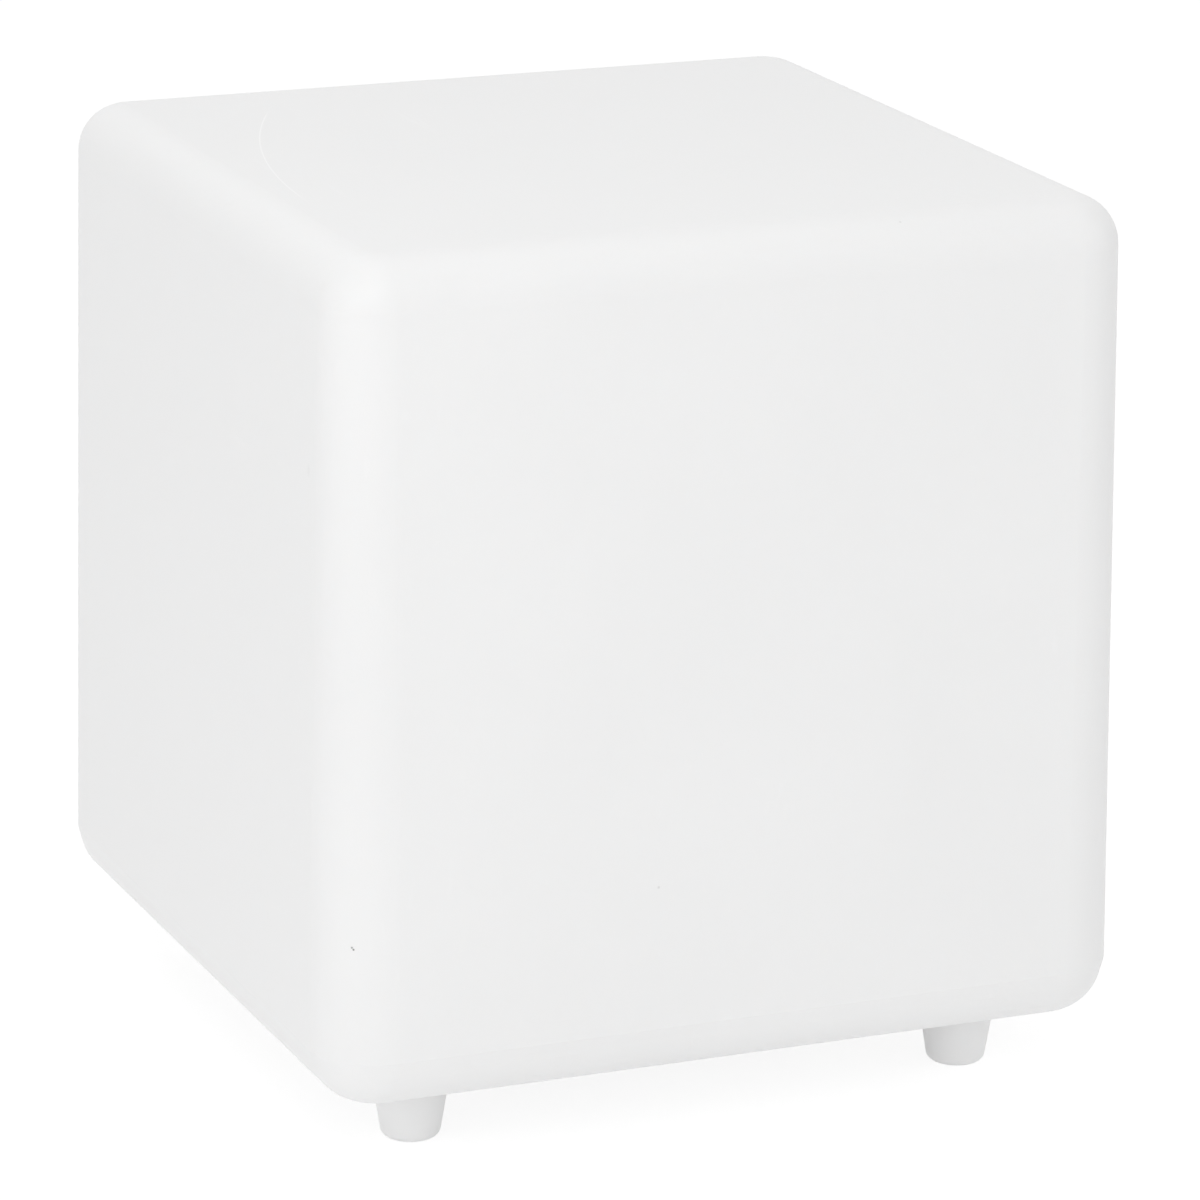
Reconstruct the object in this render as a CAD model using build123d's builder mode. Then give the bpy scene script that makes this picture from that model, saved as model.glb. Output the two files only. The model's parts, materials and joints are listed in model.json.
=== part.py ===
from build123d import *
import os

os.makedirs("parts", exist_ok=True)

# Cube light on four feet, in millimetres. The origin is on the floor, under the middle of the cube.
# +Z is up, -Y is the front and +X is the right-hand side.
# The shell is a hollow moulding. A round module closes its underside and carries, from the bottom up,
# the base plate, the control board, the battery, the lamp board and an opal dome.

# ---- Driving dimensions ----

# Cube shell
body_width = 280.0            # across the flats at the parting line
body_height = 277.0           # underside to top
foot_height = 23.0
wall = 3.0
side_draft = 0.8              # degrees, above the parting line
parting_height = 18.5         # above the underside
lower_draft = 14.5            # degrees, below the parting line
corner_radius = 22.5          # upright edges, at the parting line
top_radius = 16.0
bottom_radius = 17.5

underside = foot_height
top = underside + body_height
parting = underside + parting_height

# Feet
foot_offset = 98.0            # from the centre lines to a foot's axis
foot_top_radius = 13.2
foot_bottom_radius = 9.6
foot_edge = 1.4
spigot_radius = 8.0
spigot_height = 2.0
foot_bore_radius = 2.25
counterbore_radius = 4.5
counterbore_depth = 10.0
foot_boss_radius = 11.0
foot_boss_height = 18.0       # above the underside

# Round module in the underside
plate_radius = 75.0
plate_thickness = 3.0
gasket_thickness = 1.5
recess_radius = 76.0
recess_depth = plate_thickness + gasket_thickness
opening_radius = 56.0
boss_circle = 67.0            # radius of the six fastening points
insert_boss_radius = 6.0
insert_boss_height = 11.0     # above the floor of the recess
module_screw_count = 6

# Brass inserts and M4 screws
insert_radius = 2.8
insert_bore = 2.05
insert_length = 7.0
insert_hole_radius = 2.83
insert_hole_depth = 9.0
m4_radius = 2.0
m4_head = 3.8

# Service well in the base plate
well_radius = 32.0
well_depth = 5.0
well_floor = 2.5
well_wall = 2.5
button_x = 14.0
socket_x = -14.0
indicator_y = -16.0

# Housing
housing_radius = 52.0
housing_wall = 2.5
housing_top = 72.5
seal_thickness = 1.0
rim_height = 4.0
rim_thickness = 2.3
rim_clearance = 0.2
post_circle = 41.0            # radius of the four screw posts
post_radius = 3.5
m3_radius = 1.5
m3_head = 2.9

# Control board and its posts
board_radius = 44.0
board_thickness = 1.6
board_z = 45.0
board_post_circle = 38.5
board_post_radius = 3.0
m25_radius = 1.25

# Battery
cell_radius = 9.3
cell_length = 65.5
cell_y = 10.0
cell_z = 58.5
holder_wall = 1.5
holder_floor = 2.0
holder_inner_length = 72.5
holder_lip_z = 52.0
ear_x = 42.5
ear_z = 60.0
ear_thickness = 2.0

# Lamp board and dome
lamp_board_radius = 44.0
lamp_screw_x = 19.0
lamp_screw_y = 32.9
lamp_boss_radius = 3.0
dome_radius = 43.0
dome_height = 22.0
dome_shoulder = 10.0          # bevel round its top
dome_wall = 2.0
dome_flange_top = 3.5         # above the housing
dome_rebate = 2.0
dome_screw_circle = 47.0
dome_screw_angle = 67.5

# Button and switch
button_radius = 6.0
button_travel = 1.5
button_flange_radius = 7.5
switch_side = 8.5
switch_height = 7.0
plunger_radius = 1.7

# Charge port
port_radius = 3.15
socket_radius = 4.0
socket_flange_radius = 5.5
socket_top = 38.0
pin_radius = 1.0

# ---- Levels worked out from them ----

recess_z = underside + recess_depth
plate_top = underside + plate_thickness
well_z = underside + well_depth
well_top = well_z + well_floor
housing_bottom = plate_top + seal_thickness
deck_underside = housing_top - housing_wall
housing_bore = housing_radius - housing_wall
board_top = board_z + board_thickness
lamp_top = housing_top + board_thickness
dome_base = housing_top + dome_flange_top


def save(block, name):
    block.part.label = name
    export_step(block.part, "parts/" + name + ".step")
    print(name, round(block.part.volume, 1))


def section_plane(x, y):
    # Upright plane through the axis at x, y. Its own coordinates are radius and height.
    return Plane(origin=(x, y, 0), x_dir=(1, 0, 0), z_dir=(0, -1, 0))


def upright_axis(x, y):
    return Axis((x, y, 0), (0, 0, 1))


def revolved(points, x=0, y=0):
    # A turned piece from its half section, given as (radius, height) points.
    with BuildPart() as piece:
        with BuildSketch(section_plane(x, y)):
            with BuildLine():
                Polyline(*points, close=True)
            make_face()
        revolve(axis=upright_axis(x, y))
    return piece.part


# ---- Fasteners, all with the head downwards at height zero and drawn without their drives ----

def countersunk_screw(radius, head_radius, length):
    return revolved([(0, 0), (head_radius, 0), (radius, head_radius - radius), (radius, length),
                     (0, length)])


def pan_screw(radius, head_radius, head_height, length):
    return revolved([(0, 0), (head_radius, 0), (head_radius, head_height), (radius, head_height),
                     (radius, head_height + length), (0, head_height + length)])


def brass_insert():
    # A knurled insert is drawn as a plain sleeve.
    return revolved([(insert_bore, 0), (insert_radius, 0), (insert_radius, insert_length),
                     (insert_bore, insert_length)])


# ---- Shell ----

def drafted_half(side, radius, height, angle):
    # One half of the cube form, up or down from the parting line.
    with BuildPart() as half:
        with BuildSketch(Plane.XY.offset(parting)):
            RectangleRounded(side, side, radius)
        extrude(amount=height)
        draft(half.faces().filter_by(Axis.Z, reverse=True), Plane.XY.offset(parting), angle)
    return half.part


def cube_form(inset):
    # The closed cube form, moved in from the outside by inset on every side. Two drafted halves meet
    # at the parting line, where the lower one turns in more steeply.
    side = body_width - 2 * inset
    radius = corner_radius - inset
    with BuildPart() as form:
        add(drafted_half(side, radius, top - inset - parting, side_draft))
        add(drafted_half(side, radius, underside + inset - parting, -lower_draft))
        fillet(form.faces().sort_by(Axis.Z)[-1].edges(), top_radius - inset)
        fillet(form.faces().sort_by(Axis.Z)[0].edges(), bottom_radius - inset)
    return form.part


outer_form = cube_form(0)
inner_form = cube_form(wall)

with BuildPart() as shell:
    add(outer_form)
    add(inner_form, mode=Mode.SUBTRACT)
    # Thick ring round the module and the bosses that stand on the floor inside.
    with BuildSketch(Plane.XY.offset(underside)):
        Circle(recess_radius + wall)
    extrude(amount=recess_depth + wall)
    with BuildSketch(Plane.XY.offset(underside)):
        with GridLocations(2 * foot_offset, 2 * foot_offset, 2, 2):
            Circle(foot_boss_radius)
    extrude(amount=foot_boss_height)
    with BuildSketch(Plane.XY.offset(recess_z)):
        with PolarLocations(boss_circle, module_screw_count):
            Circle(insert_boss_radius)
    extrude(amount=insert_boss_height)
    # Recess for the base plate, and the opening that the housing goes in through.
    with BuildSketch(Plane.XY.offset(underside)):
        Circle(recess_radius)
    extrude(amount=recess_depth, mode=Mode.SUBTRACT)
    with BuildSketch(Plane.XY.offset(underside)):
        Circle(opening_radius)
    extrude(amount=recess_depth + 2 * wall, mode=Mode.SUBTRACT)
    # Sockets for the feet and blind holes for the inserts.
    with BuildSketch(Plane.XY.offset(underside)):
        with GridLocations(2 * foot_offset, 2 * foot_offset, 2, 2):
            Circle(spigot_radius + 0.1)
    extrude(amount=spigot_height, mode=Mode.SUBTRACT)
    with BuildSketch(Plane.XY.offset(underside + spigot_height)):
        with GridLocations(2 * foot_offset, 2 * foot_offset, 2, 2):
            Circle(insert_hole_radius)
    extrude(amount=insert_hole_depth, mode=Mode.SUBTRACT)
    with BuildSketch(Plane.XY.offset(recess_z)):
        with PolarLocations(boss_circle, module_screw_count):
            Circle(insert_hole_radius)
    extrude(amount=insert_hole_depth, mode=Mode.SUBTRACT)
save(shell, "shell")

# ---- Feet ----

foot_places = {
    "foot_front_left": (-foot_offset, -foot_offset),
    "foot_front_right": (foot_offset, -foot_offset),
    "foot_rear_left": (-foot_offset, foot_offset),
    "foot_rear_right": (foot_offset, foot_offset),
}

for name, (x, y) in foot_places.items():
    with BuildPart() as foot:
        with BuildSketch(section_plane(x, y)):
            with BuildLine():
                Polyline((0, 0), (foot_bottom_radius, 0), (foot_top_radius, foot_height),
                         (spigot_radius, foot_height), (spigot_radius, foot_height + spigot_height),
                         (0, foot_height + spigot_height), close=True)
            make_face()
        revolve(axis=upright_axis(x, y))
        chamfer(foot.edges().sort_by(Axis.Z)[0], foot_edge)
        with Locations(Plane(origin=(x, y, 0), z_dir=(0, 0, -1))):
            CounterBoreHole(foot_bore_radius, counterbore_radius, counterbore_depth)
    save(foot, name)

foot_screw_head = 2.6
foot_screw_length = 20.0

with BuildPart() as foot_screws:
    with Locations((0, 0, counterbore_depth - foot_screw_head)):
        with GridLocations(2 * foot_offset, 2 * foot_offset, 2, 2):
            add(pan_screw(m4_radius, 3.75, foot_screw_head, foot_screw_length))
save(foot_screws, "foot_screws")

with BuildPart() as foot_inserts:
    with Locations((0, 0, underside + spigot_height)):
        with GridLocations(2 * foot_offset, 2 * foot_offset, 2, 2):
            add(brass_insert())
save(foot_inserts, "foot_inserts")

# ---- Module fastenings ----

with BuildPart() as module_inserts:
    with Locations((0, 0, recess_z)):
        with PolarLocations(boss_circle, module_screw_count):
            add(brass_insert())
save(module_inserts, "module_inserts")

with BuildPart() as module_screws:
    with Locations((0, 0, underside)):
        with PolarLocations(boss_circle, module_screw_count):
            add(countersunk_screw(m4_radius, m4_head, 10.0))
save(module_screws, "module_screws")

with BuildPart() as module_gasket:
    with BuildSketch(Plane.XY.offset(plate_top)):
        Circle(plate_radius)
        Circle(opening_radius + 1, mode=Mode.SUBTRACT)
        with PolarLocations(boss_circle, module_screw_count):
            Circle(m4_radius + 0.5, mode=Mode.SUBTRACT)
    extrude(amount=gasket_thickness)
save(module_gasket, "module_gasket")

# ---- Base plate ----

rim_outer = housing_bore - rim_clearance
rim_inner = rim_outer - rim_thickness
well_outer = well_radius + well_wall
button_hole_radius = button_radius + 0.25
seal_groove_radius = button_radius + 1.4
seal_groove_z = well_z + 0.5
seal_height = 1.3
rib_thickness = 1.6
rib_height = 3.0
countersink = 0.15            # clearance round a screw head

with BuildPart() as base_plate:
    add(revolved([(0, well_z), (well_radius, well_z), (well_radius, underside + 0.8),
                  (well_radius + 0.8, underside), (plate_radius - 0.8, underside),
                  (plate_radius, underside + 0.8), (plate_radius, plate_top), (rim_outer, plate_top),
                  (rim_outer, plate_top + rim_height), (rim_inner, plate_top + rim_height),
                  (rim_inner, plate_top), (well_outer, plate_top), (well_outer, well_top),
                  (0, well_top)]))
    # Posts for the control board.
    with BuildSketch(Plane.XY.offset(plate_top)):
        with PolarLocations(board_post_circle, 4):
            Circle(board_post_radius)
    extrude(amount=board_z - plate_top)
    # Radial ribs between the well and the rim, clear of the posts.
    with BuildSketch(Plane.XY.offset(plate_top)):
        with PolarLocations((well_outer + rim_inner) / 2, 8, start_angle=22.5):
            Rectangle(rim_inner - well_outer + 1.0, rib_thickness)
    extrude(amount=rib_height)
    # Holes for the screws of the module and of the housing.
    with Locations(Plane(origin=(0, 0, underside), z_dir=(0, 0, -1))):
        with PolarLocations(boss_circle, module_screw_count):
            CounterSinkHole(m4_radius + 0.25, m4_head + countersink, 4.0, 90)
        with PolarLocations(post_circle, 4, start_angle=45):
            CounterSinkHole(m3_radius + 0.2, m3_head + countersink, 4.0, 90)
    # Blind holes for the board screws.
    with BuildSketch(Plane.XY.offset(board_z)):
        with PolarLocations(board_post_circle, 4):
            Circle(m25_radius + 0.02)
    extrude(amount=-9.0, mode=Mode.SUBTRACT)
    # Button hole with its seal groove, charge port hole and light pipe hole in the floor of the well.
    with BuildSketch(Plane.XY.offset(well_z)):
        with Locations((button_x, 0)):
            Circle(button_hole_radius)
        with Locations((socket_x, 0)):
            Circle(socket_radius + 0.1)
        with Locations((0, indicator_y)):
            Circle(1.55)
    extrude(amount=well_floor, mode=Mode.SUBTRACT)
    with BuildSketch(Plane.XY.offset(seal_groove_z)):
        with Locations((button_x, 0)):
            Circle(seal_groove_radius)
    extrude(amount=seal_height, mode=Mode.SUBTRACT)
save(base_plate, "base_plate")

# ---- Button and switch ----

button_low = well_z - 3.0
button_edge = 0.8
dish_radius = 4.2
dish_depth = 0.5
button_flange_top = well_top + 1.5
stem_radius = 2.0
stem_top = button_flange_top + 2.0
switch_bottom = board_z - switch_height
plunger_top = switch_bottom + 2.5

with BuildPart() as power_button:
    add(revolved([(0, button_low + dish_depth), (dish_radius - dish_depth, button_low + dish_depth),
                  (dish_radius, button_low), (button_radius - button_edge, button_low),
                  (button_radius, button_low + button_edge), (button_radius, well_top),
                  (button_flange_radius, well_top), (button_flange_radius, button_flange_top),
                  (stem_radius, button_flange_top), (stem_radius, stem_top), (0, stem_top)], button_x))
save(power_button, "power_button")

with BuildPart() as button_seal:
    with BuildSketch(Plane((button_x, 0, seal_groove_z))):
        Circle(seal_groove_radius - 0.05)
        Circle(button_radius + 0.05, mode=Mode.SUBTRACT)
    extrude(amount=seal_height)
save(button_seal, "button_seal")

with BuildPart() as switch_plunger:
    with BuildSketch(Plane((button_x, 0, stem_top))):
        Circle(plunger_radius)
    extrude(amount=plunger_top - stem_top)
save(switch_plunger, "switch_plunger")

with BuildPart() as power_switch:
    with BuildSketch(Plane((button_x, 0, switch_bottom))):
        Rectangle(switch_side, switch_side)
    extrude(amount=switch_height)
    with BuildSketch(Plane((button_x, 0, switch_bottom))):
        Circle(plunger_radius + 0.15)
    extrude(amount=plunger_top - switch_bottom + button_travel + 0.5, mode=Mode.SUBTRACT)
save(power_switch, "power_switch")

# ---- Charge port ----

flange_low = well_z - 1.5
port_end = socket_top - 2.5
pin_low = flange_low + 2.0
tail_height = 2.0
tail_y = 2.5
nut_height = 2.5

with BuildPart() as charge_socket:
    add(revolved([(port_radius, flange_low), (socket_flange_radius - 0.4, flange_low),
                  (socket_flange_radius, flange_low + 0.4), (socket_flange_radius, well_z),
                  (socket_radius, well_z), (socket_radius, socket_top), (pin_radius + 0.02, socket_top),
                  (pin_radius + 0.02, port_end), (port_radius, port_end)], socket_x))
    with BuildSketch(Plane((socket_x, 0, socket_top))):
        with GridLocations(0, 2 * tail_y, 1, 2):
            Rectangle(1.8, 0.5)
    extrude(amount=tail_height)
save(charge_socket, "charge_socket")

with BuildPart() as socket_pin:
    with BuildSketch(Plane((socket_x, 0, pin_low))):
        Circle(pin_radius)
    extrude(amount=socket_top - pin_low)
    fillet(socket_pin.edges().sort_by(Axis.Z)[0], 0.4)
save(socket_pin, "socket_pin")

with BuildPart() as socket_nut:
    with BuildSketch(Plane((socket_x, 0, well_top))):
        RegularPolygon(5.5, 6, major_radius=False)
        Circle(socket_radius + 0.05, mode=Mode.SUBTRACT)
    extrude(amount=nut_height)
save(socket_nut, "socket_nut")

plug_cap_radius = 6.5
plug_cap_thickness = 1.5
plug_nose_radius = 3.05
plug_nose_length = 8.0
plug_bore_radius = 1.3
plug_pull = 10.0
tab_width = 6.0
tab_reach = 13.5
plug_low = flange_low - plug_cap_thickness
cap_edge = 0.5

with BuildPart() as port_plug:
    with BuildSketch(Plane((socket_x, 0, plug_low))):
        Circle(plug_cap_radius)
        with Locations((-tab_reach / 2, 0)):
            SlotOverall(tab_reach + tab_width, tab_width)
    extrude(amount=plug_cap_thickness)
    chamfer(port_plug.faces().sort_by(Axis.Z)[0].edges(), cap_edge)
    with BuildSketch(Plane((socket_x, 0, flange_low))):
        Circle(plug_nose_radius)
    extrude(amount=plug_nose_length)
    with BuildSketch(Plane((socket_x, 0, flange_low + 1.0))):
        Circle(plug_bore_radius)
    extrude(amount=plug_nose_length, mode=Mode.SUBTRACT)
save(port_plug, "port_plug")

indicator_head = 0.8

with BuildPart() as charge_indicator:
    add(revolved([(0, well_z - indicator_head), (1.8, well_z - indicator_head), (2.2, well_z - 0.4),
                  (2.2, well_z), (1.5, well_z), (1.5, board_z - 1.0), (0, board_z - 1.0)], 0, indicator_y))
save(charge_indicator, "charge_indicator")

# ---- Housing ----

lead_slot_y = 32.0
lead_slot_width = 6.0
lead_slot_length = 10.0
ear_post_height = 8.0
ear_post_radius = 3.25
lamp_boss_depth = 6.0
pilot = 0.02                  # clearance of a screw in its own hole

with BuildPart() as housing:
    add(revolved([(0, deck_underside), (housing_bore, deck_underside), (housing_bore, housing_bottom),
                  (housing_radius, housing_bottom), (housing_radius, housing_top - 1.5),
                  (housing_radius - 1.5, housing_top), (0, housing_top)]))
    # Screw posts that stand on the base plate, posts for the battery holder's ears, and bosses for
    # the lamp board and the dome.
    with BuildSketch(Plane.XY.offset(plate_top)):
        with PolarLocations(post_circle, 4, start_angle=45):
            Circle(post_radius)
    extrude(amount=deck_underside - plate_top)
    with BuildSketch(Plane.XY.offset(deck_underside)):
        with GridLocations(2 * ear_x, 0, 2, 1):
            Circle(ear_post_radius)
    extrude(amount=-ear_post_height)
    with BuildSketch(Plane.XY.offset(deck_underside)):
        with GridLocations(2 * lamp_screw_x, 2 * lamp_screw_y, 2, 2):
            Circle(lamp_boss_radius)
        with PolarLocations(dome_screw_circle, 4, start_angle=dome_screw_angle):
            Circle(lamp_boss_radius)
    extrude(amount=-lamp_boss_depth)
    # Blind screw holes.
    with BuildSketch(Plane.XY.offset(plate_top)):
        with PolarLocations(post_circle, 4, start_angle=45):
            Circle(m3_radius + pilot)
    extrude(amount=12.0, mode=Mode.SUBTRACT)
    with BuildSketch(Plane.XY.offset(deck_underside - ear_post_height)):
        with GridLocations(2 * ear_x, 0, 2, 1):
            Circle(m25_radius + pilot)
    extrude(amount=7.0, mode=Mode.SUBTRACT)
    with BuildSketch(Plane.XY.offset(housing_top)):
        with GridLocations(2 * lamp_screw_x, 2 * lamp_screw_y, 2, 2):
            Circle(m25_radius + pilot)
        with PolarLocations(dome_screw_circle, 4, start_angle=dome_screw_angle):
            Circle(m25_radius + pilot)
    extrude(amount=-7.0, mode=Mode.SUBTRACT)
    # Slot in the deck for the lamp leads.
    with BuildSketch(Plane((0, lead_slot_y, deck_underside))):
        SlotOverall(lead_slot_length, lead_slot_width)
    extrude(amount=housing_wall, mode=Mode.SUBTRACT)
save(housing, "housing")

with BuildPart() as housing_seal:
    with BuildSketch(Plane.XY.offset(plate_top)):
        Circle(housing_radius - 0.1)
        Circle(housing_bore + 0.1, mode=Mode.SUBTRACT)
    extrude(amount=seal_thickness)
save(housing_seal, "housing_seal")

with BuildPart() as housing_screws:
    with Locations((0, 0, underside)):
        with PolarLocations(post_circle, 4, start_angle=45):
            add(countersunk_screw(m3_radius, m3_head, 12.0))
save(housing_screws, "housing_screws")

# ---- Control board ----

notch_radius = post_radius + 0.75

with BuildPart() as control_board:
    with BuildSketch(Plane.XY.offset(board_z)):
        Circle(board_radius)
        with PolarLocations(post_circle, 4, start_angle=45):
            Circle(notch_radius, mode=Mode.SUBTRACT)
        with PolarLocations(board_post_circle, 4):
            Circle(m25_radius + 0.15, mode=Mode.SUBTRACT)
    extrude(amount=board_thickness)
save(control_board, "control_board")

board_head = 1.8

with BuildPart() as board_screws:
    with Locations(Location((0, 0, board_top + board_head), (180, 0, 0))):
        with PolarLocations(board_post_circle, 4):
            add(pan_screw(m25_radius, 2.4, board_head, 8.0))
save(board_screws, "board_screws")

# Name: middle x, middle y, length, width, height. All are on the upper side of the board.
components = {
    "controller": (-4.0, 0.0, 9.0, 9.0, 1.4),
    "lamp driver": (12.0, 6.0, 5.0, 4.0, 1.4),
    "charger": (-18.0, -6.0, 5.0, 4.0, 1.4),
    "inductor": (14.0, -8.0, 7.0, 7.0, 2.2),
    "lamp connector": (0.0, 33.0, 10.0, 5.0, 3.5),
    "front capacitor": (16.0, -30.0, 6.0, 6.0, 4.5),
    "side capacitor": (-14.0, -30.0, 6.0, 6.0, 4.5),
}

with BuildPart() as board_components:
    for x, y, length, width, height in components.values():
        with BuildSketch(Plane((x, y, board_top))):
            Rectangle(length, width)
        extrude(amount=height)
    with BuildSketch(Plane((0, indicator_y, board_z))):
        Rectangle(2.0, 1.2)
    extrude(amount=-0.8)
save(board_components, "board_components")

# ---- Battery ----

holder_rib = 1.2
holder_width = 2 * (cell_y + cell_radius + holder_wall) + 0.4
holder_length = holder_inner_length + 2 * holder_wall
holder_floor_z = deck_underside - holder_floor
bay_width = holder_width / 2 - holder_wall - holder_rib / 2
ear_length = 9.0
ear_width = 8.0
slit_width = 3.4
slit_top = 60.0

with BuildPart() as battery_holder:
    with BuildSketch(Plane.XY.offset(holder_lip_z)):
        Rectangle(holder_length, holder_width)
    extrude(amount=deck_underside - holder_lip_z)
    with BuildSketch(Plane.XY.offset(holder_lip_z)):
        with GridLocations(0, bay_width + holder_rib, 1, 2):
            Rectangle(holder_inner_length, bay_width)
    extrude(amount=holder_floor_z - holder_lip_z, mode=Mode.SUBTRACT)
    # Ears for the two screws.
    with BuildSketch(Plane.XY.offset(ear_z)):
        with GridLocations(holder_length + ear_length, 0, 2, 1):
            Rectangle(ear_length, ear_width)
    extrude(amount=ear_thickness)
    with BuildSketch(Plane.XY.offset(ear_z)):
        with GridLocations(2 * ear_x, 0, 2, 1):
            Circle(m25_radius + 0.15)
    extrude(amount=ear_thickness, mode=Mode.SUBTRACT)
    # Slits that the contacts' tails come out through.
    with BuildSketch(Plane.XY.offset(holder_lip_z)):
        with GridLocations(holder_inner_length + holder_wall, 2 * cell_y, 2, 2):
            Rectangle(holder_wall + 0.2, slit_width)
    extrude(amount=slit_top - holder_lip_z, mode=Mode.SUBTRACT)
save(battery_holder, "battery_holder")

with BuildPart() as battery_cells:
    with BuildSketch(Plane(origin=(-cell_length / 2, 0, cell_z), x_dir=(0, 1, 0), z_dir=(1, 0, 0))):
        with GridLocations(2 * cell_y, 0, 2, 1):
            Circle(cell_radius)
    extrude(amount=cell_length)
    chamfer(battery_cells.edges().filter_by(GeomType.CIRCLE), 0.8)
save(battery_cells, "battery_cells")

contact_width = 10.0
contact_thickness = 0.4
contact_low = 53.0
contact_high = 66.0
leaf_z = 59.5
leaf_end_z = 64.4
leaf_reach = (holder_inner_length - cell_length) / 2
tail_z = 58.0
tail_width = 3.0
tail_end = holder_length / 2 + 2.0
holder_end = holder_inner_length / 2

with BuildPart() as battery_contacts:
    for side in (-1, 1):
        for y in (-cell_y, cell_y):
            # A plate on the end wall, with a leaf folded back from its lower edge on to the cell.
            wall_plane = Plane(origin=(side * holder_end, y, 0), x_dir=(-side, 0, 0), z_dir=(0, side, 0))
            with BuildSketch(wall_plane):
                with BuildLine():
                    Polyline((0, contact_high), (0, contact_low), (leaf_reach, leaf_z),
                             (leaf_reach - 2.0, leaf_end_z), (leaf_reach - 2.4, leaf_end_z),
                             (leaf_reach - contact_thickness - 0.05, leaf_z),
                             (contact_thickness, contact_low + 0.95), (contact_thickness, contact_high),
                             close=True)
                make_face()
            extrude(amount=contact_width / 2, both=True)
            tail_start = holder_end - contact_thickness
            with BuildSketch(Plane((side * (tail_start + tail_end) / 2, y, tail_z))):
                Rectangle(tail_end - tail_start, tail_width)
            extrude(amount=contact_thickness)
save(battery_contacts, "battery_contacts")

with BuildPart() as holder_screws:
    with Locations((0, 0, ear_z - board_head)):
        with GridLocations(2 * ear_x, 0, 2, 1):
            add(pan_screw(m25_radius, 2.4, board_head, 8.0))
save(holder_screws, "holder_screws")

# ---- Lamp board ----

led_side = 5.0
led_height = 1.6
outer_led_circle = 30.0
outer_led_count = 12
inner_led_circle = 14.0
inner_led_count = 6

with BuildPart() as led_board:
    with BuildSketch(Plane.XY.offset(housing_top)):
        Circle(lamp_board_radius)
        with GridLocations(2 * lamp_screw_x, 2 * lamp_screw_y, 2, 2):
            Circle(m25_radius + 0.15, mode=Mode.SUBTRACT)
    extrude(amount=board_thickness)
save(led_board, "led_board")

with BuildPart() as leds:
    with BuildSketch(Plane.XY.offset(lamp_top)):
        with PolarLocations(outer_led_circle, outer_led_count):
            Rectangle(led_side, led_side)
        with PolarLocations(inner_led_circle, inner_led_count):
            Rectangle(led_side, led_side)
    extrude(amount=led_height)
save(leds, "leds")

with BuildPart() as led_board_screws:
    with Locations(Location((0, 0, lamp_top + board_head), (180, 0, 0))):
        with GridLocations(2 * lamp_screw_x, 2 * lamp_screw_y, 2, 2):
            add(pan_screw(m25_radius, 2.2, board_head, 6.0))
save(led_board_screws, "led_board_screws")

# ---- Opal dome ----

# The dome is a bevelled drum over a flat flange, rebated underneath to clear the lamp board.
flange_radius = housing_radius - 2.0
rebate_z = housing_top + dome_rebate
rebate_radius = lamp_board_radius + 0.5
dome_top = dome_base + dome_height
inner_top = dome_top - dome_wall
inner_radius = dome_radius - dome_wall
inner_shoulder = dome_shoulder - 0.6 * dome_wall

with BuildPart() as diffuser:
    add(revolved([(0, inner_top), (inner_radius - inner_shoulder, inner_top),
                  (inner_radius, inner_top - inner_shoulder), (inner_radius, rebate_z),
                  (rebate_radius, rebate_z), (rebate_radius, housing_top), (flange_radius, housing_top),
                  (flange_radius, dome_base - 0.6), (flange_radius - 0.6, dome_base),
                  (dome_radius, dome_base), (dome_radius, dome_top - dome_shoulder),
                  (dome_radius - dome_shoulder, dome_top), (0, dome_top)]))
    with BuildSketch(Plane.XY.offset(housing_top)):
        with PolarLocations(dome_screw_circle, 4, start_angle=dome_screw_angle):
            Circle(m25_radius + 0.15)
    extrude(amount=dome_flange_top, mode=Mode.SUBTRACT)
save(diffuser, "diffuser")

with BuildPart() as diffuser_screws:
    # Turned upside down about X, so the angles run the other way.
    with Locations(Location((0, 0, dome_base + board_head), (180, 0, 0))):
        with PolarLocations(dome_screw_circle, 4, start_angle=-dome_screw_angle):
            add(pan_screw(m25_radius, 2.2, board_head, 8.0))
save(diffuser_screws, "diffuser_screws")

# ---- Inner leads ----

lead_radius = 0.8
lead_x = tail_end - lead_radius - 0.1
connector_top = board_top + components["lamp connector"][4]

with BuildPart() as battery_leads:
    with BuildSketch(Plane.XY.offset(board_top)):
        with Locations((-lead_x, -cell_y), (-lead_x, cell_y)):
            Circle(lead_radius)
    extrude(amount=tail_z - board_top)
save(battery_leads, "battery_leads")

with BuildPart() as led_leads:
    with BuildSketch(Plane.XY.offset(connector_top)):
        with Locations((-2.5, lead_slot_y), (2.5, lead_slot_y)):
            Circle(lead_radius)
    extrude(amount=housing_top - connector_top)
save(led_leads, "led_leads")

with BuildPart() as socket_leads:
    with BuildSketch(Plane((socket_x, 0, socket_top + tail_height))):
        with GridLocations(0, 2 * tail_y, 1, 2):
            Circle(lead_radius)
    extrude(amount=board_z - socket_top - tail_height)
save(socket_leads, "socket_leads")
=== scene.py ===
import json
import math

import bpy
from mathutils import Matrix, Vector


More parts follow.
